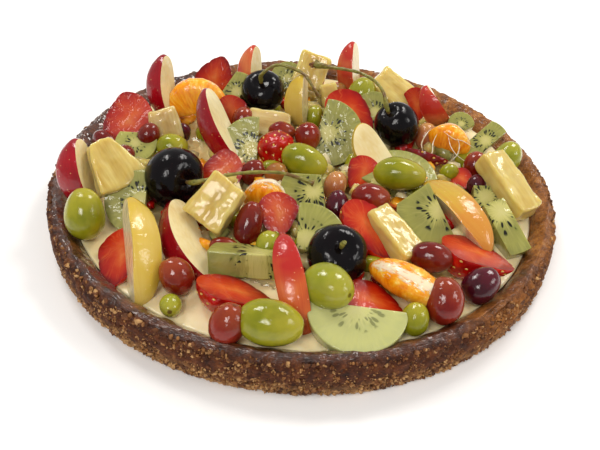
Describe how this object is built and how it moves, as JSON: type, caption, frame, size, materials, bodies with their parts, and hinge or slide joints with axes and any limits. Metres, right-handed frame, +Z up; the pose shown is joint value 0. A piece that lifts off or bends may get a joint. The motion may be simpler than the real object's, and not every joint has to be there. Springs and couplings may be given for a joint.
{
  "type": "fruit vlaai",
  "caption": "Round tart case with a bumpy baked rim, a layer of pastry cream and a glazed heap of cut kiwi, strawberry, apple, pineapple and mandarin with grapes and cherries.",
  "frame": {"origin": "centre of the case's flat foot, on the surface that the tart rests on", "axes": "+Z up through the tart, -Y toward the side that the picture shows in front, +X to its right"},
  "size_m": [0.2598, 0.2596, 0.056],
  "materials": {
    "crust": "glazed baked crust",
    "cream": "soft pastry cream",
    "fruit_bed": "glazed small cut fruit",
    "cherry": "glossy dark skin",
    "green_grape": "glossy translucent",
    "red_grape": "glossy translucent",
    "red_apple": "glossy skin, pale cut flesh",
    "yellow_apple": "glossy skin, pale cut flesh",
    "orange_apple": "glossy skin, pale cut flesh",
    "strawberry": "glossy, seeded skin and wet cut face",
    "kiwi": "wet cut face with black seeds",
    "pineapple": "wet fibrous",
    "mandarin": "glossy segment with white pith"
  },
  "bodies": {
    "root": {"apple_back_centre": "red_apple", "apple_back_left": "red_apple", "apple_back_right": "red_apple", "apple_left": "red_apple", "apple_orange": "orange_apple", "apple_pale": "yellow_apple", "apple_red_front": "red_apple", "apple_red_low": "red_apple", "apple_red_mid": "red_apple", "apple_right": "red_apple", "apple_yellow_back": "yellow_apple", "apple_yellow_front": "yellow_apple", "cherry_back": "cherry", "cherry_front": "cherry", "cherry_left": "cherry", "cherry_right": "cherry", "cream": "cream", "crust": "crust", "dark_grape": "red_grape", "fruit_bed": "fruit_bed", "green_grape_back": "green_grape", "green_grape_centre": "green_grape", "green_grape_front": "green_grape", "green_grape_left": "green_grape", "green_grape_mid": "green_grape", "green_grape_rim": "green_grape", "green_grape_small": "green_grape", "green_grape_stalk": "green_grape", "kiwi_bar": "kiwi", "kiwi_block": "kiwi", "kiwi_front": "kiwi", "kiwi_round": "kiwi", "kiwi_slice": "kiwi", "kiwi_under": "kiwi", "kiwi_wedge": "kiwi", "mandarin_back": "mandarin", "mandarin_front": "mandarin", "mandarin_pith": "mandarin", "mandarin_right": "mandarin", "pineapple_back": "pineapple", "pineapple_back_right": "pineapple", "pineapple_bar": "pineapple", "pineapple_big": "pineapple", "pineapple_left": "pineapple", "pineapple_right": "pineapple", "red_grape_back": "red_grape", "red_grape_front": "red_grape", "red_grape_left": "red_grape", "red_grape_mid": "red_grape", "red_grape_right": "red_grape", "red_grape_rim": "red_grape", "red_grape_upright": "red_grape", "strawberry_back_left": "strawberry", "strawberry_chunk": "strawberry", "strawberry_front": "strawberry", "strawberry_front_right": "strawberry", "strawberry_left": "strawberry", "strawberry_long": "strawberry", "strawberry_right": "strawberry", "strawberry_wedge": "strawberry"}
  },
  "joints": []
}
